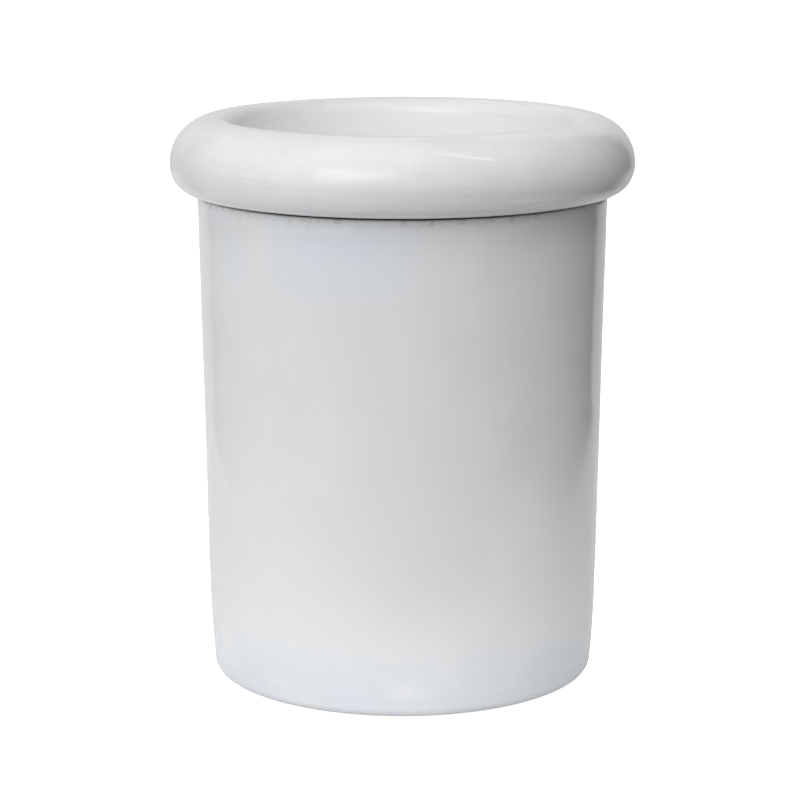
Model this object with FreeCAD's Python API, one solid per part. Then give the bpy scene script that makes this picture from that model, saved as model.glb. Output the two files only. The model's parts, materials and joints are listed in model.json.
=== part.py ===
import FreeCAD, Part
import math
import os

# Open stoneware fermenting crock with a loose rolled collar on its lip.
# Millimetres, +Z up. The origin is on the crock's axis, on the surface that it stands on.

# Crock body
LIP_RADIUS = 100.0
LIP_HEIGHT = 237.9
LIP_OUTER_ROUNDING = 1.0
LIP_INNER_ROUNDING = 3.0
FOOT_CURVE_HEIGHT = 23.5
FOOT_CURVE_RADIUS_AT_HEIGHT = 96.0
FOOT_CURVE_ARC = 460.0
FOOT_RADIUS = 93.7
FOOT_EDGE_ROUNDING = 5.0
WALL = 9.8
FLOOR_WALL_RADIUS = 86.2
FLOOR_HEIGHT = 12.5
FLOOR_ROUNDING = 9.0
FOOT_RECESS_RADIUS = 74.0
FOOT_RECESS_DEPTH = 2.5
FOOT_RECESS_SLOPE = 2.0
FOOT_RECESS_ROUNDING = 1.0

# Collar: a hollow rolled ring with a locating skirt that hangs inside the lip
GASKET_THICKNESS = 1.2
COLLAR_BASE = LIP_HEIGHT + GASKET_THICKNESS
COLLAR_TOP = 275.5
COLLAR_RADIUS = 113.15
BORE_RADIUS = 82.6
COLLAR_INNER_ROUNDING = 8.0
COLLAR_OUTER_ROUNDING = 22.4
COLLAR_SIDE_BREAK = 249.2
COLLAR_SIDE_ROUNDING = 16.0
COLLAR_UNDERSIDE_RADIUS = 108.2
COLLAR_UNDERSIDE_ROUNDING = 11.5
SKIRT_RADIUS = 88.8
SKIRT_DEPTH = 11.0
SKIRT_ROUNDING = 2.0
SKIRT_ROOT_ROUNDING = 0.8

# Round air tunnel inside the collar, and its vents in the seat face, where the gasket covers them
TUNNEL_CENTRE_RADIUS = 97.5
TUNNEL_CENTRE_HEIGHT = 257.2
TUNNEL_RADIUS = 9.5
VENT_COUNT = 2
VENT_RADIUS = 1.5
VENT_START_ANGLE = 67.5

# Gasket between the lip and the collar
GASKET_INNER_RADIUS = 92.6
GASKET_OUTER_RADIUS = 97.4
GASKET_ROUNDING = 0.3

# Half-moon weights
WEIGHT_RADIUS = 75.0
WEIGHT_THICKNESS = 20.0
WEIGHT_GAP = 4.0
WEIGHT_EDGE_ROUNDING = 4.0
WEIGHT_CORNER_ROUNDING = 10.0
FINGER_HOLE_RADIUS = 11.0
FINGER_HOLE_OFFSET = 34.0
FINGER_HOLE_ROUNDING = 3.0

AXIS_BASE = FreeCAD.Vector(0, 0, 0)
AXIS_UP = FreeCAD.Vector(0, 0, 1)
SHORTEST_EDGE = 1e-6


def section_point(radius, height):
    """A point of a turned section, in the XZ plane."""
    return FreeCAD.Vector(radius, 0, height)


def corner_arc(before, corner, after, rounding):
    """The arc that rounds a corner: its start, middle and end."""
    to_before = (before - corner).normalize()
    to_after = (after - corner).normalize()
    half_angle = to_before.getAngle(to_after) / 2
    tangent_length = rounding / math.tan(half_angle)
    start = corner + to_before * tangent_length
    end = corner + to_after * tangent_length
    bisector = (to_before + to_after).normalize()
    centre = corner + bisector * (rounding / math.sin(half_angle))
    middle = centre - bisector * rounding
    return start, middle, end


def rounded_face(corners):
    """A closed face in the XZ plane. Each corner is (radius, height, rounding), and rounding 0 stays sharp."""
    points = [section_point(radius, height) for radius, height, _ in corners]
    edges = []
    ends = []
    for index, (_, _, rounding) in enumerate(corners):
        corner = points[index]
        if rounding == 0:
            ends.append((corner, corner))
            continue
        following = points[(index + 1) % len(points)]
        start, middle, end = corner_arc(points[index - 1], corner, following, rounding)
        edges.append(Part.Arc(start, middle, end).toShape())
        ends.append((start, end))
    for index, (start, _) in enumerate(ends):
        previous_end = ends[index - 1][1]
        if start.distanceToPoint(previous_end) > SHORTEST_EDGE:
            edges.append(Part.LineSegment(previous_end, start).toShape())
    return Part.Face(Part.Wire(Part.__sortEdges__(edges)))


def turned(corners):
    """The solid that a rounded section makes when it turns about the crock's axis."""
    shape = rounded_face(corners).revolve(AXIS_BASE, AXIS_UP, 360)
    return Part.Solid(shape) if shape.ShapeType == "Shell" else shape


def crock_body():
    """The jar: one thick wall and floor, a rounded lip, and a recess under the floor that leaves a foot ring."""
    return turned(
        [
            (0, FOOT_RECESS_DEPTH, 0),
            (FOOT_RECESS_RADIUS, FOOT_RECESS_DEPTH, FOOT_RECESS_ROUNDING),
            (FOOT_RECESS_RADIUS + FOOT_RECESS_SLOPE, 0, FOOT_RECESS_ROUNDING),
            (FOOT_RADIUS, 0, FOOT_EDGE_ROUNDING),
            (FOOT_CURVE_RADIUS_AT_HEIGHT, FOOT_CURVE_HEIGHT, FOOT_CURVE_ARC),
            (LIP_RADIUS, LIP_HEIGHT, LIP_OUTER_ROUNDING),
            (LIP_RADIUS - WALL, LIP_HEIGHT, LIP_INNER_ROUNDING),
            (FLOOR_WALL_RADIUS, FLOOR_HEIGHT, FLOOR_ROUNDING),
            (0, FLOOR_HEIGHT, 0),
        ]
    )


def air_tunnel():
    """The air space inside the collar, which keeps its walls thin enough to fire evenly."""
    centre = FreeCAD.Vector(0, 0, TUNNEL_CENTRE_HEIGHT)
    return Part.makeTorus(TUNNEL_CENTRE_RADIUS, TUNNEL_RADIUS, centre, AXIS_UP)


def vent(index):
    """One round vent, from below the seat face up into the air tunnel, halfway across the gasket."""
    angle = math.radians(VENT_START_ANGLE + 360 * index / VENT_COUNT)
    radius = (GASKET_INNER_RADIUS + GASKET_OUTER_RADIUS) / 2
    start_height = COLLAR_BASE - GASKET_THICKNESS
    start = FreeCAD.Vector(radius * math.cos(angle), radius * math.sin(angle), start_height)
    return Part.makeCylinder(VENT_RADIUS, TUNNEL_CENTRE_HEIGHT - start_height, start, AXIS_UP)


def rim_collar():
    """The fat rolled collar. Its skirt keeps it centred in the mouth, and it lifts straight off."""
    skirt_end = COLLAR_BASE - SKIRT_DEPTH
    solid = turned(
        [
            (BORE_RADIUS, COLLAR_TOP, COLLAR_INNER_ROUNDING),
            (COLLAR_RADIUS, COLLAR_TOP, COLLAR_OUTER_ROUNDING),
            (COLLAR_RADIUS, COLLAR_SIDE_BREAK, COLLAR_SIDE_ROUNDING),
            (COLLAR_UNDERSIDE_RADIUS, COLLAR_BASE, COLLAR_UNDERSIDE_ROUNDING),
            (SKIRT_RADIUS, COLLAR_BASE, SKIRT_ROOT_ROUNDING),
            (SKIRT_RADIUS, skirt_end, SKIRT_ROUNDING),
            (BORE_RADIUS, skirt_end, SKIRT_ROUNDING),
        ]
    )
    return solid.cut([air_tunnel()] + [vent(index) for index in range(VENT_COUNT)])


def seat_gasket():
    """The thin flat seal under the collar's seat face, set back from both edges of the lip."""
    return turned(
        [
            (GASKET_INNER_RADIUS, LIP_HEIGHT, GASKET_ROUNDING),
            (GASKET_INNER_RADIUS, COLLAR_BASE, GASKET_ROUNDING),
            (GASKET_OUTER_RADIUS, COLLAR_BASE, GASKET_ROUNDING),
            (GASKET_OUTER_RADIUS, LIP_HEIGHT, GASKET_ROUNDING),
        ]
    )


def lies_on(edge, height):
    """Whether a whole edge lies at one height."""
    return abs(edge.BoundBox.ZMin - height) < SHORTEST_EDGE and abs(edge.BoundBox.ZMax - height) < SHORTEST_EDGE


def is_finger_hole(edge):
    return isinstance(edge.Curve, Part.Circle) and abs(edge.Curve.Radius - FINGER_HOLE_RADIUS) < SHORTEST_EDGE


def half_moon_weight(side):
    """One half of the disc that holds the food down. side is +1 for the +X half and -1 for the other."""
    disc = Part.makeCylinder(WEIGHT_RADIUS, WEIGHT_THICKNESS, FreeCAD.Vector(0, 0, FLOOR_HEIGHT), AXIS_UP)
    reach = 2 * WEIGHT_RADIUS
    corner = FreeCAD.Vector(WEIGHT_GAP / 2, -WEIGHT_RADIUS, FLOOR_HEIGHT)
    half = disc.common(Part.makeBox(reach, reach, WEIGHT_THICKNESS, corner))
    upright = [edge for edge in half.Edges if edge.BoundBox.ZLength > WEIGHT_THICKNESS / 2]
    half = half.makeFillet(WEIGHT_CORNER_ROUNDING, upright)
    hole_base = FreeCAD.Vector(FINGER_HOLE_OFFSET, 0, FLOOR_HEIGHT)
    half = half.cut(Part.makeCylinder(FINGER_HOLE_RADIUS, WEIGHT_THICKNESS, hole_base, AXIS_UP))
    rims = []
    for height in (FLOOR_HEIGHT, FLOOR_HEIGHT + WEIGHT_THICKNESS):
        rims += [edge for edge in half.Edges if lies_on(edge, height)]
    outer_rims = [edge for edge in rims if not is_finger_hole(edge)]
    half = half.makeFillet(WEIGHT_EDGE_ROUNDING, outer_rims)
    half = half.makeFillet(FINGER_HOLE_ROUNDING, [edge for edge in half.Edges if is_finger_hole(edge)])
    if side < 0:
        half.rotate(AXIS_BASE, AXIS_UP, 180)
    return half


def only_solid(name, shape):
    """The single valid solid in a shape."""
    solids = shape.Solids
    if len(solids) != 1 or not solids[0].isValid():
        raise ValueError(f"{name} isn't one valid solid")
    return solids[0]


def main():
    parts = {
        "crock_body": crock_body(),
        "rim_collar": rim_collar(),
        "seat_gasket": seat_gasket(),
        "weight_left": half_moon_weight(-1),
        "weight_right": half_moon_weight(+1),
    }
    os.makedirs("parts", exist_ok=True)
    for name, shape in parts.items():
        solid = only_solid(name, shape)
        solid.exportStep(f"parts/{name}.step")
        print(name, f"{solid.Volume / 1000:.1f} cm3", solid.BoundBox)


main()
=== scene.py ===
import json
import math

import bpy
import numpy as np
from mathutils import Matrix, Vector, noise


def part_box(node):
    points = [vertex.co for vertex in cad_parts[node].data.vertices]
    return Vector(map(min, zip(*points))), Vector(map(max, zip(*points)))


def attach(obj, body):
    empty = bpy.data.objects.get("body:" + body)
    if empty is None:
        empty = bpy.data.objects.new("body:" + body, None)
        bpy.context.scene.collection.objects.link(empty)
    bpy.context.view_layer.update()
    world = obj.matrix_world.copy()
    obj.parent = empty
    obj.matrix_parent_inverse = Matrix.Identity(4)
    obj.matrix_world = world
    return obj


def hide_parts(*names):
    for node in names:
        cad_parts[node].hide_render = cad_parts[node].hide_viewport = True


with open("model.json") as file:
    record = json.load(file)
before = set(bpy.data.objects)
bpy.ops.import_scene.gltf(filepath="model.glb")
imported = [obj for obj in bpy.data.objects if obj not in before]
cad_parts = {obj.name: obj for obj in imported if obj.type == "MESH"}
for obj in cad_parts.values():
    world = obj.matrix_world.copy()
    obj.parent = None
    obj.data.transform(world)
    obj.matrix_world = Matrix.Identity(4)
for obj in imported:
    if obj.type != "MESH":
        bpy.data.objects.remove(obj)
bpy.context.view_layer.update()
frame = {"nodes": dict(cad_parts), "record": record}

# Shapes and noise are in millimetres and angles in degrees. The camera, lamps and stage are in metres.
MM = 0.001

# The crock's section, where the frame's boxes don't give it
WALL = 9.8
FLOOR_WALL_RADIUS = 86.2
FLOOR_ROUNDING = 9.0
LIP_OUTER_ROUNDING = 1.0
LIP_INNER_ROUNDING = 3.0
FOOT_RADIUS = 93.7
FOOT_EDGE_ROUNDING = 5.0
FOOT_CURVE_RADIUS = 96.0
FOOT_CURVE_HEIGHT = 23.5
FOOT_CURVE_ARC = 460.0
FOOT_RECESS_RADIUS = 74.0
FOOT_RECESS_DEPTH = 2.5
FOOT_RECESS_SLOPE = 2.0
FOOT_RECESS_ROUNDING = 1.0
LIP_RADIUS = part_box("crock_body")[1].x / MM
LIP_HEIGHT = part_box("crock_body")[1].z / MM
FLOOR_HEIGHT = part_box("weight_left")[0].z / MM

# The collar's section
COLLAR_INNER_ROUNDING = 8.0
COLLAR_OUTER_ROUNDING = 22.4
COLLAR_SIDE_BREAK = 249.2
COLLAR_SIDE_ROUNDING = 16.0
COLLAR_UNDERSIDE_RADIUS = 108.2
COLLAR_UNDERSIDE_ROUNDING = 11.5
SKIRT_RADIUS = 88.8
SKIRT_ROUNDING = 2.0
SKIRT_ROOT_ROUNDING = 0.8
COLLAR_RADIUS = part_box("rim_collar")[1].x / MM
COLLAR_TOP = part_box("rim_collar")[1].z / MM
COLLAR_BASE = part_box("seat_gasket")[1].z / MM
SKIRT_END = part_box("rim_collar")[0].z / MM
BORE_RADIUS = next(m["dims"]["r_mm"] for m in frame["record"]["mounts"] if m["name"] == "mouth")

# Vents drilled into the collar's seat face, each with a small countersink
VENT_ANGLES = (67.5, 247.5)
VENT_RADIUS = 1.5
VENT_PATH_RADIUS = 95.0
VENT_DEPTH = 9.0
VENT_SIDES = 24
COUNTERSINK = 0.5

# The gasket's section, with sealing ribs on both faces
GASKET_OUTER_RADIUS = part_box("seat_gasket")[1].x / MM
GASKET_INNER_RADIUS = 92.6
RIB_COUNT = 4
RIB_ROUNDING = 0.12
RIB_INSET = 0.25
GROOVE_DEPTH = 0.25

# How finely the turned shapes are divided: steps round the axis, and spacing along the outline
CROCK_STEPS = 480
CROCK_SPACING = 4.6
RUN_BAND_DEPTH = 16
RUN_BAND_SPACING = 0.6
COLLAR_STEPS = 480
COLLAR_SPACING = 1.7
GASKET_STEPS = 400
GASKET_SPACING = 0.6
WIDEST_ARC_STEP = 11
SAME_POINT = 1e-4


# ---------------------------------------------------------------- turned shapes


def corner_arc(before, corner, after, rounding, spacing):
    """Points along the arc that rounds a corner of an outline."""
    to_before = (before - corner) / np.linalg.norm(before - corner)
    to_after = (after - corner) / np.linalg.norm(after - corner)
    half_angle = math.acos(np.clip(to_before @ to_after, -1, 1)) / 2
    bisector = (to_before + to_after) / np.linalg.norm(to_before + to_after)
    centre = corner + bisector * rounding / math.sin(half_angle)
    start = corner + to_before * rounding / math.tan(half_angle) - centre
    turn = math.pi - 2 * half_angle
    steps = max(2, math.ceil(turn / math.radians(WIDEST_ARC_STEP)), math.ceil(turn * rounding / spacing))
    direction = math.copysign(1, to_before[0] * to_after[1] - to_before[1] * to_after[0])
    angles = -direction * turn * np.arange(steps + 1) / steps
    cosines, sines = np.cos(angles), np.sin(angles)
    radii = start[0] * cosines - start[1] * sines
    heights = start[0] * sines + start[1] * cosines
    return centre + np.stack([radii, heights], axis=1)


def outline(corners, spacing, closed):
    """An outline's (radius, height) points, with its corners rounded and its straight runs divided.
    Each corner is (radius, height, rounding)."""
    places = [np.array(corner[:2], float) for corner in corners]
    count = len(corners)
    arcs = []
    for index, (_, _, rounding) in enumerate(corners):
        if rounding:
            after = places[(index + 1) % count]
            arcs.append(corner_arc(places[index - 1], places[index], after, rounding, spacing))
        else:
            arcs.append(places[index][None, :])
    points = []
    for index, arc in enumerate(arcs):
        points.append(arc)
        if index == count - 1 and not closed:
            break
        start, end = arc[-1], arcs[(index + 1) % count][0]
        steps = max(1, math.ceil(np.linalg.norm(end - start) / spacing))
        points.append(start + (end - start) * np.arange(1, steps)[:, None] / steps)
    joined = np.concatenate(points)
    gaps = np.linalg.norm(joined - np.roll(joined, 1, axis=0), axis=1)
    return joined[gaps > SAME_POINT]


def refined(points, low, high, spacing):
    """The same outline with more points on its outer face between two heights."""
    made = []
    for start, end in zip(points, np.roll(points, -1, axis=0)):
        made.append(start)
        inside = min(start[1], end[1]) >= low and max(start[1], end[1]) <= high
        outer = start[0] > LIP_RADIUS - WALL / 2
        steps = math.ceil(np.linalg.norm(end - start) / spacing)
        if inside and outer and steps > 1:
            made.extend(start + (end - start) * step / steps for step in range(1, steps))
    return np.array(made)


def outline_normals(points, closed):
    """The outward direction at each point of an outline that runs anticlockwise round its material."""
    before, after = np.roll(points, 1, axis=0), np.roll(points, -1, axis=0)
    if not closed:
        before[0], after[-1] = points[0], points[-1]
    along = after - before
    along /= np.linalg.norm(along, axis=1)[:, None]
    return np.stack([along[:, 1], -along[:, 0]], axis=1)


def new_piece(name, vertices, faces):
    """A smooth-shaded mesh object."""
    mesh = bpy.data.meshes.new(name)
    mesh.from_pydata(vertices, [], faces)
    mesh.validate()
    mesh.shade_smooth()
    piece = bpy.data.objects.new(name, mesh)
    bpy.context.scene.collection.objects.link(piece)
    return piece


def turned(name, points, steps, relief, closed=True):
    """A closed mesh turned about Z. relief gives how far each point stands out along its normal.
    An outline that isn't closed starts and ends on the axis."""
    normals = outline_normals(points, closed)
    ring_points = points if closed else points[1:-1]
    ring_normals = normals if closed else normals[1:-1]
    count = len(ring_points)
    vertices = []
    for (radius, height), (out, up) in zip(ring_points, ring_normals):
        for step in range(steps):
            angle = 2 * math.pi * step / steps
            amount = relief(angle, radius, height, out, up)
            r = (radius + out * amount) * MM
            vertices.append((r * math.cos(angle), r * math.sin(angle), (height + up * amount) * MM))
    faces = []
    for row in range(count if closed else count - 1):
        first, second = row * steps, (row + 1) % count * steps
        for step in range(steps):
            after = (step + 1) % steps
            faces.append((first + step, first + after, second + after, second + step))
    if not closed:
        vertices.append((0, 0, points[0][1] * MM))
        vertices.append((0, 0, points[-1][1] * MM))
        start_tip, end_tip, last = len(vertices) - 2, len(vertices) - 1, (count - 1) * steps
        for step in range(steps):
            after = (step + 1) % steps
            faces.append((after, step, start_tip))
            faces.append((last + step, last + after, end_tip))
    return new_piece(name, vertices, faces)


def smooth_step(low, high, value):
    """0 at low and 1 at high, with a smooth ramp between. low may be above high."""
    share = min(1.0, max(0.0, (value - low) / (high - low)))
    return share * share * (3 - 2 * share)


def wobble(place, size, seed):
    """Smooth noise from about -1 to 1, with features of a size."""
    x, y, z = (value / size for value in place)
    return noise.noise(Vector((x + seed, y - 2 * seed, z + 3 * seed)))


def around(angle, radius, height):
    """The place of a point that is given by its turn about Z."""
    return math.cos(angle) * radius, math.sin(angle) * radius, height


# ---------------------------------------------------------------- the crock's surface

# A waver from hand finishing that only goes inwards
CROCK_WAVE = 0.22
CROCK_WAVE_SIZE = 55
CROCK_WAVE_SINK = 0.75
CROCK_WAVE_START = 2
CROCK_WAVE_FULL = 20
CROCK_WAVE_LIP = 5

# How far below the lip the glaze has run, and the beaded film of glaze that ends there
RUN_LENGTH = 4.2
RUN_BROAD_SPREAD = 2.2
RUN_BROAD_SIZE = 16.9
RUN_FINE_SPREAD = 1.21
RUN_FINE_SIZE = 3.575
BEAD_HEIGHT = 0.22
BEAD_WIDTH = 0.9
BEAD_SPACING = 3.2
BEAD_LEAST = 0.35
BEAD_START = 1
BEAD_FULL = 3
FILM_HEIGHT = 0.10
FILM_EDGE = 0.8
FILM_FULL = 2

# Throwing rings on the inner wall, which climb as one spiral
INNER_RING_DEPTH = 0.3
INNER_RING_PITCH = 13.0
INNER_RING_WANDER = 1.6
INNER_RING_WANDER_SIZE = 70
INNER_RINGS_ABOVE_FLOOR = (4, 25)
INNER_RINGS_BELOW_LIP = (3, 28)

# The spiral on the floor, which fades at the middle and at the wall
FLOOR_SPIRAL_DEPTH = 0.3
FLOOR_SPIRAL_PITCH = 11.0
FLOOR_SPIRAL_START = (2, 12)
FLOOR_SPIRAL_END = (80, 66)


def run_end(angle):
    """How far below the lip the glaze has run at an angle."""
    broad = wobble(around(angle, LIP_RADIUS, 0), RUN_BROAD_SIZE, seed=11)
    fine = wobble(around(angle, LIP_RADIUS, 0), RUN_FINE_SIZE, seed=23)
    return RUN_LENGTH + RUN_BROAD_SPREAD * broad + RUN_FINE_SPREAD * fine


def outer_relief(angle, radius, height):
    wave = CROCK_WAVE * (wobble(around(angle, radius, height), CROCK_WAVE_SIZE, seed=3) - CROCK_WAVE_SINK)
    wave *= smooth_step(CROCK_WAVE_START, CROCK_WAVE_FULL, height)
    wave *= smooth_step(LIP_HEIGHT, LIP_HEIGHT - CROCK_WAVE_LIP, height)
    past_run = LIP_HEIGHT - height - run_end(angle)
    lumps = max(0, wobble(around(angle, radius, 0), BEAD_SPACING, seed=31))
    bead = BEAD_HEIGHT * math.exp(-(past_run / BEAD_WIDTH) ** 2) * (BEAD_LEAST + (1 - BEAD_LEAST) * lumps)
    bead *= smooth_step(LIP_HEIGHT - BEAD_START, LIP_HEIGHT - BEAD_FULL, height)
    film = FILM_HEIGHT * smooth_step(FILM_EDGE, -FILM_EDGE, past_run)
    film *= smooth_step(LIP_HEIGHT, LIP_HEIGHT - FILM_FULL, height)
    return wave + bead + film


def inner_relief(angle, radius, height):
    phase = height + INNER_RING_PITCH * angle / (2 * math.pi)
    phase += INNER_RING_WANDER * wobble(around(angle, radius, height), INNER_RING_WANDER_SIZE, seed=7)
    floor_start, floor_full = INNER_RINGS_ABOVE_FLOOR
    lip_start, lip_full = INNER_RINGS_BELOW_LIP
    fade = smooth_step(FLOOR_HEIGHT + floor_start, FLOOR_HEIGHT + floor_full, height)
    fade *= smooth_step(LIP_HEIGHT - lip_start, LIP_HEIGHT - lip_full, height)
    ring = math.cos(2 * math.pi * phase / INNER_RING_PITCH)
    return -INNER_RING_DEPTH * fade * (1 + ring) / 2


def floor_relief(angle, radius):
    turn = math.cos(2 * math.pi * (radius / FLOOR_SPIRAL_PITCH + angle / (2 * math.pi)))
    fade = smooth_step(*FLOOR_SPIRAL_START, radius) * smooth_step(*FLOOR_SPIRAL_END, radius)
    return -FLOOR_SPIRAL_DEPTH * (1 + turn) / 2 * fade


def crock_relief(angle, radius, height, out, up):
    if out > 0.5 and radius > FLOOR_WALL_RADIUS + WALL / 2:
        return outer_relief(angle, radius, height)
    if out < -0.5 and radius < LIP_RADIUS - WALL / 2 and height > FLOOR_HEIGHT:
        return inner_relief(angle, radius, height)
    if up > 0.5 and radius < FLOOR_WALL_RADIUS and height < FLOOR_HEIGHT + FLOOR_ROUNDING:
        return floor_relief(angle, radius)
    return 0.0


def crock_outline():
    corners = [
        (0, FOOT_RECESS_DEPTH, 0),
        (FOOT_RECESS_RADIUS, FOOT_RECESS_DEPTH, FOOT_RECESS_ROUNDING),
        (FOOT_RECESS_RADIUS + FOOT_RECESS_SLOPE, 0, FOOT_RECESS_ROUNDING),
        (FOOT_RADIUS, 0, FOOT_EDGE_ROUNDING),
        (FOOT_CURVE_RADIUS, FOOT_CURVE_HEIGHT, FOOT_CURVE_ARC),
        (LIP_RADIUS, LIP_HEIGHT, LIP_OUTER_ROUNDING),
        (LIP_RADIUS - WALL, LIP_HEIGHT, LIP_INNER_ROUNDING),
        (FLOOR_WALL_RADIUS, FLOOR_HEIGHT, FLOOR_ROUNDING),
        (0, FLOOR_HEIGHT, 0),
    ]
    points = outline(corners, CROCK_SPACING, closed=False)
    return refined(points, LIP_HEIGHT - RUN_BAND_DEPTH, LIP_HEIGHT - LIP_OUTER_ROUNDING, RUN_BAND_SPACING)


def make_crock():
    piece = turned("crock", crock_outline(), CROCK_STEPS, crock_relief, closed=False)
    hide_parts("crock_body")
    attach(piece, "crock")
    return piece


# ---------------------------------------------------------------- the collar and its gasket

# A broad and a fine waver that only go inwards and leave the seat face flat
COLLAR_WAVE = 0.20
COLLAR_WAVE_SIZE = 62
COLLAR_RIPPLE = 0.05
COLLAR_RIPPLE_SIZE = 19
COLLAR_WAVE_SINK = 0.8
COLLAR_WAVE_ABOVE_SEAT = (0.5, 10)


def collar_relief(angle, radius, height, out, up):
    place = around(angle, radius, height)
    wave = COLLAR_WAVE * (wobble(place, COLLAR_WAVE_SIZE, seed=5) - COLLAR_WAVE_SINK)
    ripple = COLLAR_RIPPLE * (wobble(place, COLLAR_RIPPLE_SIZE, seed=9) - COLLAR_WAVE_SINK)
    start, full = COLLAR_WAVE_ABOVE_SEAT
    return smooth_step(COLLAR_BASE + start, COLLAR_BASE + full, height) * (wave + ripple)


def collar_outline():
    corners = [
        (BORE_RADIUS, COLLAR_TOP, COLLAR_INNER_ROUNDING),
        (BORE_RADIUS, SKIRT_END, SKIRT_ROUNDING),
        (SKIRT_RADIUS, SKIRT_END, SKIRT_ROUNDING),
        (SKIRT_RADIUS, COLLAR_BASE, SKIRT_ROOT_ROUNDING),
        (COLLAR_UNDERSIDE_RADIUS, COLLAR_BASE, COLLAR_UNDERSIDE_ROUNDING),
        (COLLAR_RADIUS, COLLAR_SIDE_BREAK, COLLAR_SIDE_ROUNDING),
        (COLLAR_RADIUS, COLLAR_TOP, COLLAR_OUTER_ROUNDING),
    ]
    return outline(corners, COLLAR_SPACING, closed=True)


def vent_drill(index, degrees):
    """A rod with a flared foot that drills one vent."""
    angle = math.radians(degrees)
    flare = VENT_RADIUS + COUNTERSINK
    profile = [(flare, -1.0), (flare, 0.0), (VENT_RADIUS, COUNTERSINK), (VENT_RADIUS, VENT_DEPTH)]
    vertices, faces = [], []
    for radius, height in profile:
        for side in range(VENT_SIDES):
            turn = 2 * math.pi * side / VENT_SIDES
            x = VENT_PATH_RADIUS * math.cos(angle) + radius * math.cos(turn)
            y = VENT_PATH_RADIUS * math.sin(angle) + radius * math.sin(turn)
            vertices.append((x * MM, y * MM, (COLLAR_BASE + height) * MM))
    for row in range(len(profile) - 1):
        for side in range(VENT_SIDES):
            after = (side + 1) % VENT_SIDES
            base, above = row * VENT_SIDES, (row + 1) * VENT_SIDES
            faces.append((base + side, base + after, above + after, above + side))
    faces.append(tuple(reversed(range(VENT_SIDES))))
    faces.append(tuple(range((len(profile) - 1) * VENT_SIDES, len(profile) * VENT_SIDES)))
    return new_piece(f"vent_drill_{index}", vertices, faces)


def apply_modifiers(piece):
    """Turns what the modifiers make into the piece's own mesh."""
    bpy.context.view_layer.update()
    shown = piece.evaluated_get(bpy.context.evaluated_depsgraph_get())
    mesh = bpy.data.meshes.new_from_object(shown)
    piece.modifiers.clear()
    piece.data = mesh
    return mesh


def cut_away(piece, tool):
    """Cuts the tool's shape out of the piece and removes the tool."""
    modifier = piece.modifiers.new("cut", "BOOLEAN")
    modifier.operation = "DIFFERENCE"
    modifier.solver = "EXACT"
    modifier.object = tool
    apply_modifiers(piece)
    bpy.data.objects.remove(tool)


def make_collar():
    piece = turned("collar", collar_outline(), COLLAR_STEPS, collar_relief)
    for index, degrees in enumerate(VENT_ANGLES):
        cut_away(piece, vent_drill(index, degrees))
    piece.data.materials.clear()
    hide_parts("rim_collar")
    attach(piece, "collar")
    return piece


def gasket_face(height, groove_height):
    """One face of the gasket from its inner to its outer edge: flat ribs with a groove between each two."""
    width = (GASKET_OUTER_RADIUS - GASKET_INNER_RADIUS) / RIB_COUNT
    corners = []
    for rib in range(RIB_COUNT):
        start = GASKET_INNER_RADIUS + rib * width
        end = start + width
        corners.append((start + RIB_INSET, height, RIB_ROUNDING))
        corners.append((end - RIB_INSET, height, RIB_ROUNDING))
        if rib < RIB_COUNT - 1:
            corners.append((end, groove_height, 0))
    return corners


def make_gasket():
    """A flat silicone ring with shallow sealing ribs on both faces."""
    middle = (LIP_HEIGHT + COLLAR_BASE) / 2
    corners = gasket_face(LIP_HEIGHT, LIP_HEIGHT + GROOVE_DEPTH)
    corners.append((GASKET_OUTER_RADIUS, middle, 0))
    corners += reversed(gasket_face(COLLAR_BASE, COLLAR_BASE - GROOVE_DEPTH))
    corners.append((GASKET_INNER_RADIUS, middle, 0))
    points = outline(corners, GASKET_SPACING, closed=True)
    piece = turned("gasket", points, GASKET_STEPS, lambda *place: 0.0)
    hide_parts("seat_gasket")
    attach(piece, "collar")
    return piece


# ---------------------------------------------------------------- the weights

WEIGHT_VOXEL = 1.1
WEIGHT_WAVE = 0.175
WEIGHT_WAVE_SIZE = 30
WEIGHT_GRAIN = 0.07
WEIGHT_GRAIN_SIZE = 2.1
WEIGHT_SINK = 0.8
WEIGHT_SEEDS = {"weight_left": 41, "weight_right": 57}


def make_weight(node):
    """A pressed stoneware weight: its CAD shape, slightly uneven, with a rough skin."""
    source = frame["nodes"][node]
    piece = bpy.data.objects.new(node + "_stone", source.data.copy())
    bpy.context.scene.collection.objects.link(piece)
    piece.data.materials.clear()
    remesh = piece.modifiers.new("even", "REMESH")
    remesh.mode = "VOXEL"
    remesh.voxel_size = WEIGHT_VOXEL * MM
    mesh = apply_modifiers(piece)
    low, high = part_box(node)
    seed = WEIGHT_SEEDS[node]
    moved = []
    for vertex in mesh.vertices:
        place = vertex.co / MM
        wave = WEIGHT_WAVE * (wobble(place, WEIGHT_WAVE_SIZE, seed) - WEIGHT_SINK)
        grain = WEIGHT_GRAIN * (wobble(place, WEIGHT_GRAIN_SIZE, seed) - WEIGHT_SINK)
        sunk = vertex.co + vertex.normal * (wave + grain) * MM
        moved.append(Vector(min(max(value, a), b) for value, a, b in zip(sunk, low, high)))
    for vertex, place in zip(mesh.vertices, moved):
        vertex.co = place
    mesh.shade_smooth()
    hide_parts(node)
    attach(piece, node)
    return piece


# ---------------------------------------------------------------- shader helpers


def material(name):
    made = bpy.data.materials.new(name)
    made.use_nodes = True
    tree = made.node_tree
    return made, tree, tree.nodes["Principled BSDF"]


def link(tree, source, target):
    tree.links.new(source, target)


def vector_math(tree, operation):
    node = tree.nodes.new("ShaderNodeVectorMath")
    node.operation = operation
    return node


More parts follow.
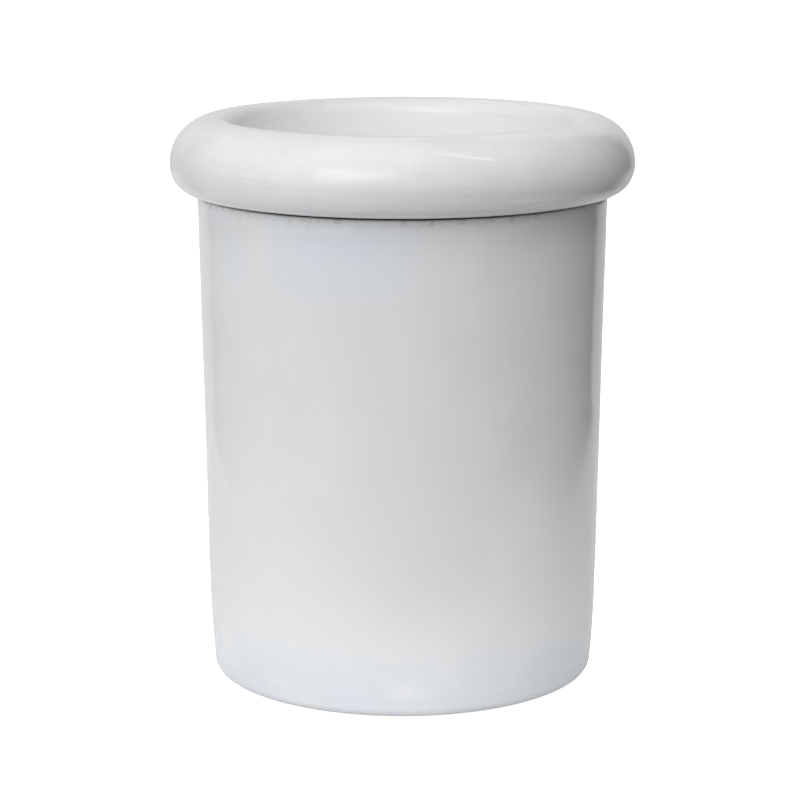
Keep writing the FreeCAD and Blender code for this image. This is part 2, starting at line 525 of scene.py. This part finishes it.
def object_place(tree):
    """The place on the object in metres, and its height."""
    coordinates = tree.nodes.new("ShaderNodeTexCoord")
    parts = tree.nodes.new("ShaderNodeSeparateXYZ")
    link(tree, coordinates.outputs["Object"], parts.inputs[0])
    return coordinates.outputs["Object"], parts.outputs["Z"]


def stretched(tree, place, lift):
    """The place in a space where features are stretched upwards by 1/lift."""
    mapping = tree.nodes.new("ShaderNodeMapping")
    mapping.inputs["Scale"].default_value = (1, 1, lift)
    link(tree, place, mapping.inputs["Vector"])
    return mapping.outputs["Vector"]


def wheel_place(tree, place, squeeze):
    """The place in a space where features are stretched round the crock by 1/squeeze, and the distance
    from the axis. The two together tell every place apart, so they go into noise as four coordinates."""
    flat = vector_math(tree, "MULTIPLY")
    flat.inputs[1].default_value = (1, 1, 0)
    link(tree, place, flat.inputs[0])
    distance = vector_math(tree, "LENGTH")
    link(tree, flat.outputs[0], distance.inputs[0])
    ring = vector_math(tree, "NORMALIZE")
    link(tree, flat.outputs[0], ring.inputs[0])
    scaled = vector_math(tree, "SCALE")
    scaled.inputs["Scale"].default_value = LIP_RADIUS * MM * squeeze
    link(tree, ring.outputs[0], scaled.inputs[0])
    joined = vector_math(tree, "MULTIPLY_ADD")
    joined.inputs[1].default_value = (0, 0, 1)
    link(tree, place, joined.inputs[0])
    link(tree, scaled.outputs[0], joined.inputs[2])
    return joined.outputs[0], distance.outputs["Value"]


def cloud(tree, place, size, detail=2.0, roughness=0.5, seed=0):
    """Noise from 0 to 1, with features of a size. A place may carry a fourth coordinate."""
    node = tree.nodes.new("ShaderNodeTexNoise")
    node.noise_dimensions = "4D"
    node.inputs["Scale"].default_value = 1 / (size * MM)
    node.inputs["Detail"].default_value = detail
    node.inputs["Roughness"].default_value = roughness
    slice_place = seed * 0.1
    node.inputs["W"].default_value = slice_place
    if isinstance(place, tuple):
        place, fourth = place
        link(tree, calc(tree, "ADD", fourth, slice_place), node.inputs["W"])
    link(tree, place, node.inputs["Vector"])
    return node.outputs["Fac"]


def cell_distance(tree, place, size):
    """Distance to the nearest of scattered points, in cell sizes."""
    node = tree.nodes.new("ShaderNodeTexVoronoi")
    node.inputs["Scale"].default_value = 1 / (size * MM)
    node.inputs["Randomness"].default_value = 1.0
    link(tree, place, node.inputs["Vector"])
    return node.outputs["Distance"]


def ranged(tree, value, low, high, to_low=0.0, to_high=1.0):
    """A smooth ramp, by default 0 where the value is low and 1 where it is high."""
    node = tree.nodes.new("ShaderNodeMapRange")
    node.interpolation_type = "SMOOTHSTEP"
    for name, number in (("From Min", low), ("From Max", high), ("To Min", to_low), ("To Max", to_high)):
        node.inputs[name].default_value = number
    link(tree, value, node.inputs["Value"])
    return node.outputs["Result"]


def between(tree, length, start, end):
    """0 where a height or distance is at start and 1 where it is at end."""
    return ranged(tree, length, start * MM, end * MM)


def below_lip(tree, height, start, end):
    """1 near the lip and 0 further down: from start to end below the lip."""
    return between(tree, height, LIP_HEIGHT - end, LIP_HEIGHT - start)


def calc(tree, operation, *values):
    node = tree.nodes.new("ShaderNodeMath")
    node.operation = operation
    for socket, value in zip(node.inputs, values):
        if isinstance(value, (int, float)):
            socket.default_value = value
        else:
            link(tree, value, socket)
    return node.outputs[0]


def product(tree, *values):
    made = values[0]
    for value in values[1:]:
        made = calc(tree, "MULTIPLY", made, value)
    return made


def mixed(tree, factor, first, second):
    """A colour mix. Each side is a colour or another node's output."""
    node = tree.nodes.new("ShaderNodeMix")
    node.data_type = "RGBA"
    # On a colour mix, sockets 6 and 7 and output 2 are the colour ones
    link(tree, factor, node.inputs[0])
    for socket, value in ((node.inputs[6], first), (node.inputs[7], second)):
        if isinstance(value, tuple):
            socket.default_value = (*value, 1)
        else:
            link(tree, value, socket)
    return node.outputs[2]


def bumped(tree, relief, depth, below=None):
    """A normal with bumps of a depth, on top of another normal."""
    node = tree.nodes.new("ShaderNodeBump")
    node.inputs["Strength"].default_value = 1.0
    node.inputs["Distance"].default_value = depth * MM
    link(tree, relief, node.inputs["Height"])
    if below is not None:
        link(tree, below, node.inputs["Normal"])
    return node.outputs["Normal"]


def specks(tree, place, size, seed):
    """A few small round spots, scattered unevenly."""
    spot = ranged(tree, cell_distance(tree, place, size), 0.040, 0.018)
    rare = ranged(tree, cloud(tree, place, size * 2.6, detail=1, seed=seed), 0.52, 0.62)
    return product(tree, spot, rare)


# ---------------------------------------------------------------- the crock's glaze

BODY_WHITE = (0.750, 0.762, 0.777)
BODY_WHITE_THIN = (0.720, 0.730, 0.744)
BODY_BLUE = (0.688, 0.745, 0.805)
# Painted light: a whiter colour for the inside of the crock and the collar's bore, standing in for light
# bouncing round the hollow
INNER_PAINTED_LIGHT = (0.840, 0.848, 0.858)
FOOT_BLUE = (0.676, 0.722, 0.770)
RUN_GREY = (0.42, 0.43, 0.44)
# Pale beads of pooled glaze, whitened partly as a painted highlight for their glints
RUN_WHITE_AND_GLINT = (0.88, 0.89, 0.91)
# Painted light just under the lip, standing in for light that reaches under the collar
UNDER_LIP_PAINTED_LIGHT = (0.83, 0.85, 0.875)
CLAY = (0.55, 0.50, 0.44)
PALE_CLAY = (0.66, 0.62, 0.56)
SPECK = (0.22, 0.20, 0.18)
GLAZE_IOR = 1.5
CLAY_ROUGHNESS = 0.85

# Heights of the bluish patches under the lip and round the foot: clear of them first, and full of them second
UPPER_BLUE_BAND = (192, 222)
LOWER_BLUE_BAND = (40, 12)
# Heights where the foot ring is wiped down to the clay, on an edge that wanders
WIPED_FOOT = (1.7, 1.3)
WIPE_WANDER = 1.6


def bare_clay(tree, place, seed):
    grain = cloud(tree, place, 1.4, detail=3, roughness=0.7, seed=seed)
    return mixed(tree, grain, CLAY, PALE_CLAY)


def inside_painted_light(tree, height, distance, colour):
    """Painted light: the colour inside the crock is painted whiter to stand in for light bouncing round the
    hollow.
    """
    within = between(tree, distance, LIP_RADIUS - 2, LIP_RADIUS - WALL + 2)
    # Painted light: the inner wall and floor are painted whiter than the outside
    inside = product(tree, within, between(tree, height, FLOOR_HEIGHT - 4, FLOOR_HEIGHT - 1))
    return mixed(tree, inside, colour, INNER_PAINTED_LIGHT)


def blue_patches_and_lip_light(tree, place, height, colour):
    """Bluish patches under the lip and round the foot, and colour painted whiter just under the lip as
    painted light standing in for light that reaches under the collar's shade.
    """
    broad = cloud(tree, stretched(tree, place, 0.6), 58, detail=2, seed=8)
    upper = product(tree, between(tree, height, *UPPER_BLUE_BAND), ranged(tree, broad, 0.38, 0.60), 0.8)
    colour = mixed(tree, upper, colour, BODY_BLUE)
    small = cloud(tree, place, 30, detail=2, seed=10)
    lower = product(tree, between(tree, height, *LOWER_BLUE_BAND), ranged(tree, small, 0.22, 0.60), 0.8)
    colour = mixed(tree, lower, colour, FOOT_BLUE)
    # Painted light: the crock just under the lip is painted whiter to stand in for light reaching under the
    # collar's shade
    return mixed(tree, product(tree, below_lip(tree, height, 2.0, 11.0), 0.75), colour, UNDER_LIP_PAINTED_LIGHT)


def run_colours(tree, place, height, distance, colour):
    """The ragged edge where the glaze has run thin under the lip: grey gaps, upright ticks, and pale beads
    whose whiter colour is partly a painted highlight for their glints.
    """
    outside = between(tree, distance, LIP_RADIUS - 1.3, LIP_RADIUS - 0.6)
    gaps = cloud(tree, stretched(tree, place, 0.8), 4.6, detail=3, roughness=0.62, seed=3)
    gaps = product(tree, ranged(tree, gaps, 0.50, 0.64), outside, below_lip(tree, height, 0.8, 3.6), 0.5)
    colour = mixed(tree, gaps, colour, RUN_GREY)
    ticks = cloud(tree, stretched(tree, place, 0.34), 2.0, detail=2, roughness=0.6, seed=13)
    patches = ranged(tree, cloud(tree, place, 17, detail=2, seed=14), 0.44, 0.58)
    ticks = product(tree, ranged(tree, ticks, 0.54, 0.68), patches, outside)
    ticks = product(tree, ticks, below_lip(tree, height, 3.0, 8.5), 0.30)
    colour = mixed(tree, ticks, colour, RUN_GREY)
    past_start = calc(tree, "SUBTRACT", 1.0, below_lip(tree, height, 1.6, 2.6))
    window = product(tree, outside, below_lip(tree, height, 4.2, 5.6), past_start)
    # Pale beads of pooled glaze, painted whiter than their glaze, partly as a painted highlight for their
    # glints
    beads_and_glints = ranged(tree, cloud(tree, stretched(tree, place, 0.9), 3.0, detail=2, seed=18), 0.52, 0.68)
    return mixed(tree, product(tree, beads_and_glints, window, 0.65), colour, RUN_WHITE_AND_GLINT)


def crock_glaze():
    made, tree, shader = material("crock_glaze")
    place, height = object_place(tree)
    wheel_spot, distance = wheel_place(tree, place, 0.10)
    thin = ranged(tree, cloud(tree, place, 46, detail=3, seed=2), 0.36, 0.66)
    colour = mixed(tree, thin, BODY_WHITE_THIN, BODY_WHITE)
    streaks = cloud(tree, stretched(tree, place, 0.06), 7, detail=4, roughness=0.6, seed=5)
    colour = mixed(tree, ranged(tree, streaks, 0.40, 0.75, 0.0, 0.45), colour, BODY_WHITE_THIN)
    colour = inside_painted_light(tree, height, distance, colour)
    colour = blue_patches_and_lip_light(tree, place, height, colour)
    colour = run_colours(tree, place, height, distance, colour)
    smudges = specks(tree, stretched(tree, place, 0.7), 26, seed=40)
    colour = mixed(tree, product(tree, smudges, 0.16), colour, RUN_GREY)
    pits = specks(tree, place, 9, seed=12)
    colour = mixed(tree, product(tree, pits, 0.7), colour, SPECK)
    wander = product(tree, cloud(tree, place, 6, detail=2, seed=4), WIPE_WANDER * MM)
    bare = between(tree, calc(tree, "ADD", height, wander), *WIPED_FOOT)
    colour = mixed(tree, bare, colour, bare_clay(tree, place, seed=6))
    link(tree, colour, shader.inputs["Base Color"])
    gloss = ranged(tree, cloud(tree, place, 30, detail=3, seed=9), 0.3, 0.7, 0.10, 0.19)
    rough = calc(tree, "MAXIMUM", gloss, product(tree, bare, CLAY_ROUGHNESS))
    link(tree, rough, shader.inputs["Roughness"])
    wheel = bumped(tree, cloud(tree, (wheel_spot, distance), 6, detail=2, seed=19), 0.05)
    peel = bumped(tree, cloud(tree, place, 9, detail=2, seed=15), 0.07, wheel)
    fine_peel = bumped(tree, cloud(tree, place, 2.4, detail=2, seed=16), 0.010, peel)
    pitted = bumped(tree, pits, -0.10, fine_peel)
    sandy = bumped(tree, product(tree, bare, cloud(tree, place, 0.7, detail=2, seed=17)), 0.12, pitted)
    link(tree, sandy, shader.inputs["Normal"])
    shader.inputs["IOR"].default_value = GLAZE_IOR
    return made


# ---------------------------------------------------------------- the collar's glaze

COLLAR_WHITE = (0.738, 0.748, 0.762)
# A greyer white: thinner glaze in random blotches, and painted shade on the bore's inner edge
COLLAR_THIN_AND_SHADE = (0.682, 0.692, 0.706)
COLLAR_LOW_PAINTED_LIGHT = (0.815, 0.826, 0.840)
COLLAR_EDGE_PAINTED_LIGHT = (0.900, 0.908, 0.918)

# Heights between which the colour is painted lighter towards the underside, and above the seat towards its
# lower edge: painted light standing in for light from below and from the crock's lip
COLLAR_LOW_PAINTED_LIGHT_RANGE = (257.0, 243.0)
COLLAR_EDGE_PAINTED_LIGHT_RANGE = (3.4, 0.9)
# Distances outside the bore, and depths below the top, between which the bore's painted light begins: a
# whiter colour standing in for light bouncing round the hollow
BORE_PAINTED_LIGHT_REACH = (5, 3)
BORE_PAINTED_LIGHT_DEPTH = (3, 10)
# Distances outside the bore over which the colour is painted darker as painted shade that dims the inner
# edge's highlight, and over which handling has dulled it
INNER_EDGE_PAINTED_SHADE_RANGE = (COLLAR_INNER_ROUNDING, 5)
DULLED_RANGE = (COLLAR_INNER_ROUNDING, 2)
# Bare clay on the seat face: heights above the seat, on an edge that wanders, and depths of it on the skirt
WIPED_SEAT = (0.9, 0.6)
WIPED_SKIRT = (-0.4, -0.1)
SEAT_WANDER = 1.0


def from_bore(tree, distance, reach):
    """0 where the distance outside the bore is the first value and 1 where it is the second."""
    return between(tree, distance, BORE_RADIUS + reach[0], BORE_RADIUS + reach[1])


def above_seat(tree, height, span):
    """0 where the height above the seat is the first value and 1 where it is the second."""
    return between(tree, height, COLLAR_BASE + span[0], COLLAR_BASE + span[1])


def collar_glaze():
    made, tree, shader = material("collar_glaze")
    place, height = object_place(tree)
    wheel_spot, distance = wheel_place(tree, place, 0.12)
    brush_spot, _ = wheel_place(tree, place, 0.14)
    blotch = ranged(tree, cloud(tree, place, 34, detail=4, roughness=0.6, seed=21), 0.36, 0.66)
    colour = mixed(tree, blotch, COLLAR_THIN_AND_SHADE, COLLAR_WHITE)
    brushed = cloud(tree, (brush_spot, distance), 4, detail=4, roughness=0.7, seed=22)
    colour = mixed(tree, ranged(tree, brushed, 0.45, 0.75, 0.0, 0.45), colour, COLLAR_THIN_AND_SHADE)
    # Painted light: the collar's underside and lower edge are painted lighter to stand in for light from
    # below
    colour = mixed(tree, between(tree, height, *COLLAR_LOW_PAINTED_LIGHT_RANGE), colour, COLLAR_LOW_PAINTED_LIGHT)
    colour = mixed(tree, above_seat(tree, height, COLLAR_EDGE_PAINTED_LIGHT_RANGE), colour, COLLAR_EDGE_PAINTED_LIGHT)
    # Painted shade: the inner edge is painted darker to dim its highlight
    colour = mixed(tree, from_bore(tree, distance, INNER_EDGE_PAINTED_SHADE_RANGE), colour, COLLAR_THIN_AND_SHADE)
    # Painted light: the bore is painted whiter to stand in for light bouncing round the hollow
    top_start, top_end = BORE_PAINTED_LIGHT_DEPTH
    below_top = between(tree, height, COLLAR_TOP - top_start, COLLAR_TOP - top_end)
    bore_painted_light = product(tree, from_bore(tree, distance, BORE_PAINTED_LIGHT_REACH), below_top)
    colour = mixed(tree, bore_painted_light, colour, INNER_PAINTED_LIGHT)
    pits = specks(tree, place, 8, seed=24)
    colour = mixed(tree, product(tree, pits, 0.6), colour, SPECK)
    wander = product(tree, cloud(tree, place, 6, detail=2, seed=27), SEAT_WANDER * MM)
    wiped = above_seat(tree, calc(tree, "ADD", height, wander), WIPED_SEAT)
    bare = product(tree, wiped, above_seat(tree, height, WIPED_SKIRT))
    colour = mixed(tree, bare, colour, bare_clay(tree, place, seed=26))
    link(tree, colour, shader.inputs["Base Color"])
    gloss = ranged(tree, cloud(tree, place, 26, detail=3, seed=29), 0.3, 0.7, 0.12, 0.21)
    gloss = calc(tree, "ADD", gloss, product(tree, from_bore(tree, distance, DULLED_RANGE), 0.16))
    rough = calc(tree, "MAXIMUM", gloss, product(tree, bare, CLAY_ROUGHNESS))
    link(tree, rough, shader.inputs["Roughness"])
    wheel = bumped(tree, cloud(tree, (wheel_spot, distance), 7, detail=3, seed=34), 0.50)
    peel = bumped(tree, cloud(tree, place, 11, detail=2, seed=35), 0.12, wheel)
    fine_peel = bumped(tree, cloud(tree, place, 2.8, detail=2, seed=36), 0.014, peel)
    link(tree, bumped(tree, pits, -0.08, fine_peel), shader.inputs["Normal"])
    shader.inputs["IOR"].default_value = GLAZE_IOR
    return made


# ---------------------------------------------------------------- silicone and stoneware

SILICONE_BLACK = (0.020, 0.020, 0.021)
SILICONE_DUST = (0.05, 0.049, 0.047)
STONE_DARK = (0.64, 0.61, 0.56)
STONE_PALE = (0.76, 0.735, 0.69)
STONE_GRIT = (0.55, 0.52, 0.47)
STONE_SPECK = (0.16, 0.12, 0.09)


def gasket_silicone():
    made, tree, shader = material("gasket_silicone")
    place, _ = object_place(tree)
    dust = ranged(tree, cloud(tree, place, 3, detail=4, roughness=0.7, seed=51), 0.45, 0.8, 0.0, 0.5)
    link(tree, mixed(tree, dust, SILICONE_BLACK, SILICONE_DUST), shader.inputs["Base Color"])
    rough = ranged(tree, cloud(tree, place, 5, detail=3, seed=52), 0.3, 0.7, 0.45, 0.62)
    link(tree, rough, shader.inputs["Roughness"])
    link(tree, bumped(tree, cloud(tree, place, 0.5, detail=2, seed=53), 0.02), shader.inputs["Normal"])
    return made


def weight_stoneware():
    made, tree, shader = material("weight_stoneware")
    place, _ = object_place(tree)
    colour = mixed(tree, cloud(tree, place, 26, detail=4, roughness=0.6, seed=61), STONE_DARK, STONE_PALE)
    grit = ranged(tree, cloud(tree, place, 1.1, detail=3, roughness=0.75, seed=62), 0.35, 0.75, 0.0, 0.6)
    colour = mixed(tree, grit, colour, STONE_GRIT)
    speck = ranged(tree, cell_distance(tree, place, 4.5), 0.09, 0.05)
    rare = ranged(tree, cloud(tree, place, 9, detail=1, seed=64), 0.46, 0.56)
    colour = mixed(tree, product(tree, speck, rare, 0.8), colour, STONE_SPECK)
    link(tree, colour, shader.inputs["Base Color"])
    rough = ranged(tree, cloud(tree, place, 8, detail=3, seed=65), 0.3, 0.7, 0.62, 0.82)
    link(tree, rough, shader.inputs["Roughness"])
    sand = bumped(tree, cloud(tree, place, 0.9, detail=3, roughness=0.7, seed=66), 0.10)
    pressed = bumped(tree, cloud(tree, place, 3.5, detail=3, roughness=0.6, seed=67), 0.12, sand)
    link(tree, pressed, shader.inputs["Normal"])
    return made


# ---------------------------------------------------------------- stage panels

FLOOR_SIZE = 60
FLOOR_GREY = 0.80
FLOOR_GLOW = 0.80
PANEL_ROUGHNESS = 0.9

TABLE_WIDTH = 0.87
TABLE_FRONT = -0.24
TABLE_SHIFT = -0.17
TABLE_GREY = 0.77
TABLE_GREY_IN_GLAZE = 0.86
STUDIO_DEPTH = 2.4

BACKDROP_WIDTH = 2.32
BACKDROP_HEIGHT = 1.9
BACKDROP_DISTANCE = 1.55
BACKDROP_SHIFT = -0.19
BACKDROP_GLOW = 0.65

SWEEP_FRONT = 0.45
SWEEP_EDGE = 0.11
SWEEP_SPREAD = 0.85
SWEEP_GLOWS = (("sweep_left", -1, 0.80), ("sweep_right", 1, 0.76))

# How far each panel lies below the foot, in millimetres, so that no two share a plane
FLOOR_DROP = 0.2
TABLE_IN_GLAZE_DROP = 0.4
TABLE_DROP = 0.5


def rectangle(width, depth):
    x, y = width / 2, depth / 2
    return [(-x, -y), (x, -y), (x, y), (-x, y)]


def stage_panel(name, corners, centre, grey, glow):
    """A flat stage panel, with a matt grey and a glow of its own."""
    panel = new_piece(name, [(x, y, 0) for x, y in corners], [tuple(range(len(corners)))])
    panel.location = centre
    made, _, shader = material(name)
    shader.inputs["Base Color"].default_value = (grey, grey, grey, 1)
    shader.inputs["Roughness"].default_value = PANEL_ROUGHNESS
    shader.inputs["Specular IOR Level"].default_value = 0.0
    shader.inputs["Emission Color"].default_value = (1, 1, 1, 1)
    shader.inputs["Emission Strength"].default_value = glow
    panel.data.materials.append(made)
    return panel


def make_floor():
    """The pale floor that the camera sees. It neither lights the crock nor shows in its glaze."""
    place = (0, 0, -FLOOR_DROP * MM)
    floor = stage_panel("floor", rectangle(FLOOR_SIZE, FLOOR_SIZE), place, FLOOR_GREY, FLOOR_GLOW)
    floor.visible_diffuse = False
    floor.visible_glossy = False
    floor.visible_shadow = False


def make_table_and_backdrop():
    """A white table top that lights the crock, a copy of it that shows in the glaze, and a glowing backdrop.
    The camera sees none of them."""
    table_shape = rectangle(TABLE_WIDTH, STUDIO_DEPTH)
    middle = TABLE_FRONT + STUDIO_DEPTH / 2
    table = stage_panel("table_top", table_shape, (TABLE_SHIFT, middle, -TABLE_DROP * MM), TABLE_GREY, 0.0)
    table.visible_camera = False
    table.visible_glossy = False
    place = (0, middle, -TABLE_IN_GLAZE_DROP * MM)
    mirrored = stage_panel("table_in_glaze", table_shape, place, TABLE_GREY_IN_GLAZE, 0.0)
    mirrored.visible_camera = False
    mirrored.visible_diffuse = False
    mirrored.visible_shadow = False
    place = (BACKDROP_SHIFT, BACKDROP_DISTANCE, BACKDROP_HEIGHT / 2)
    backdrop = stage_panel("backdrop", rectangle(BACKDROP_WIDTH, BACKDROP_HEIGHT), place, 0.0, BACKDROP_GLOW)
    backdrop.rotation_euler = (math.radians(90), 0, 0)
    backdrop.visible_camera = False
    backdrop.visible_shadow = False


def make_sweep():
    """Lit paper on the back of the table, which only shows as bright rims down the crock's sides.
    It widens towards the backdrop."""
    near = SWEEP_EDGE + SWEEP_FRONT * SWEEP_SPREAD
    far = SWEEP_EDGE + BACKDROP_DISTANCE * SWEEP_SPREAD
    for name, side, glow in SWEEP_GLOWS:
        front = [(0, SWEEP_FRONT), (side * near, SWEEP_FRONT)]
        back = [(side * far, BACKDROP_DISTANCE), (0, BACKDROP_DISTANCE)]
        sweep = stage_panel(name, front + back, (0, 0, 0), 0.0, glow)
        sweep.visible_camera = False
        sweep.visible_diffuse = False
        sweep.visible_shadow = False


# ---------------------------------------------------------------- lamps

LIGHT_TARGET_HEIGHT = 0.2

# Name, azimuth, elevation, distance, size, strength, and whether it only shows in the glaze
SOFT_BOXES = (
    ("key_left", -38, 30, 1.7, (1.3, 1.0), 0.50, False),
    ("front_high", 0, 48, 1.8, (1.4, 1.2), 2.50, False),
    ("over_right", 63, 62, 1.5, (0.8, 0.6), 1.70, False),
    ("low_behind", 180, 10, 1.8, (1.6, 0.8), 4.50, False),
    ("box_in_glaze", -25, 28, 1.5, (0.85, 0.66), 2.4, True),
)

STRIP_PLACE = (0.58, -0.35, 1.47)
STRIP_TURN = -34
STRIP_SIZE = (0.75, 0.10)
STRIP_STRENGTH = 4.5


def direction(azimuth, elevation):
    """A direction from the crock. Azimuth 0 points to the camera's side and grows to the right."""
    a, e = math.radians(azimuth), math.radians(elevation)
    return Vector((math.sin(a) * math.cos(e), -math.cos(a) * math.cos(e), math.sin(e)))


def area_lamp(name, size, strength, glossy):
    """A rectangular soft light, unseen by the camera. It lights the crock or only shows in the glaze."""
    data = bpy.data.lights.new(name, "AREA")
    data.shape = "RECTANGLE"
    data.size, data.size_y = size
    data.energy = strength * math.pi * data.size * data.size_y
    lamp = bpy.data.objects.new(name, data)
    bpy.context.scene.collection.objects.link(lamp)
    lamp.visible_camera = False
    lamp.visible_glossy = glossy
    lamp.visible_diffuse = not glossy
    return lamp


def make_soft_box(name, azimuth, elevation, distance, size, strength, glossy):
    """A soft light that faces the crock."""
    lamp = area_lamp(name, size, strength, glossy)
    away = direction(azimuth, elevation)
    lamp.location = away * distance + Vector((0, 0, LIGHT_TARGET_HEIGHT))
    lamp.rotation_mode = "QUATERNION"
    lamp.rotation_quaternion = (-away).to_track_quat("-Z", "Y")


def make_overhead_strip():
    """A narrow light above, facing straight down, that shows as a thin streak along the collar."""
    lamp = area_lamp("overhead_strip", STRIP_SIZE, STRIP_STRENGTH, True)
    lamp.location = STRIP_PLACE
    lamp.rotation_euler = (0, 0, math.radians(STRIP_TURN))


# ---------------------------------------------------------------- room and camera

ROOM_FRONT = 1.02
ROOM_FRONT_AWAY = (-0.26, -0.966, 0)
ROOM_LEFT = 0.61
ROOM_LEFT_AWAY = (-1, 0, 0)
ROOM_FALLOFF = 2.0
ROOM_FLOOR_FADE = (-0.12, 0.22)
WHITE_STRENGTH = 1.2

CAMERA_PLACE = (0.0, -1.340, 0.4164)
CAMERA_DOWN = 11.95
CAMERA_LENS = 123.55
SENSOR_WIDTH = 36.0


def room_side(tree, ray, away):
    """A soft glow that is strongest in one direction and fades round the room."""
    dot = vector_math(tree, "DOT_PRODUCT")
    dot.inputs[1].default_value = away
    link(tree, ray, dot.inputs[0])
    return calc(tree, "POWER", calc(tree, "MULTIPLY_ADD", dot.outputs["Value"], 0.5, 0.5), ROOM_FALLOFF)


def make_room():
    """White where the camera looks past the floor. For other rays, a room brighter in front and left."""
    world = bpy.data.worlds.new("studio")
    world.use_nodes = True
    bpy.context.scene.world = world
    tree = world.node_tree
    tree.nodes.clear()
    ray = tree.nodes.new("ShaderNodeTexCoord").outputs["Generated"]
    parts = tree.nodes.new("ShaderNodeSeparateXYZ")
    link(tree, ray, parts.inputs[0])
    above_floor = ranged(tree, parts.outputs["Z"], *ROOM_FLOOR_FADE)
    front = product(tree, room_side(tree, ray, ROOM_FRONT_AWAY), above_floor, ROOM_FRONT)
    left = product(tree, room_side(tree, ray, ROOM_LEFT_AWAY), ROOM_LEFT)
    room = tree.nodes.new("ShaderNodeBackground")
    room.inputs["Color"].default_value = (1, 1, 1, 1)
    link(tree, calc(tree, "ADD", front, left), room.inputs["Strength"])
    white = tree.nodes.new("ShaderNodeBackground")
    white.inputs["Color"].default_value = (1, 1, 1, 1)
    white.inputs["Strength"].default_value = WHITE_STRENGTH
    rays = tree.nodes.new("ShaderNodeLightPath")
    choose = tree.nodes.new("ShaderNodeMixShader")
    link(tree, rays.outputs["Is Camera Ray"], choose.inputs[0])
    link(tree, room.outputs[0], choose.inputs[1])
    link(tree, white.outputs[0], choose.inputs[2])
    output = tree.nodes.new("ShaderNodeOutputWorld")
    link(tree, choose.outputs[0], output.inputs["Surface"])


def make_camera():
    data = bpy.data.cameras.new("camera")
    data.sensor_width = SENSOR_WIDTH
    data.lens = CAMERA_LENS
    camera = bpy.data.objects.new("camera", data)
    camera.location = CAMERA_PLACE
    camera.rotation_euler = (math.radians(90 - CAMERA_DOWN), 0, 0)
    bpy.context.scene.collection.objects.link(camera)
    bpy.context.scene.camera = camera


# ---------------------------------------------------------------- the scene

make_camera()
bpy.context.scene.view_settings.view_transform = "Standard"
bpy.context.scene.cycles.max_bounces = 16
bpy.context.scene.cycles.diffuse_bounces = 12

crock = make_crock()
crock.data.materials.append(crock_glaze())
collar = make_collar()
collar.data.materials.append(collar_glaze())
gasket = make_gasket()
gasket.data.materials.append(gasket_silicone())
stoneware = weight_stoneware()
for node in ("weight_left", "weight_right"):
    make_weight(node).data.materials.append(stoneware)

make_floor()
make_table_and_backdrop()
make_sweep()
make_room()
for soft_box in SOFT_BOXES:
    make_soft_box(*soft_box)
make_overhead_strip()
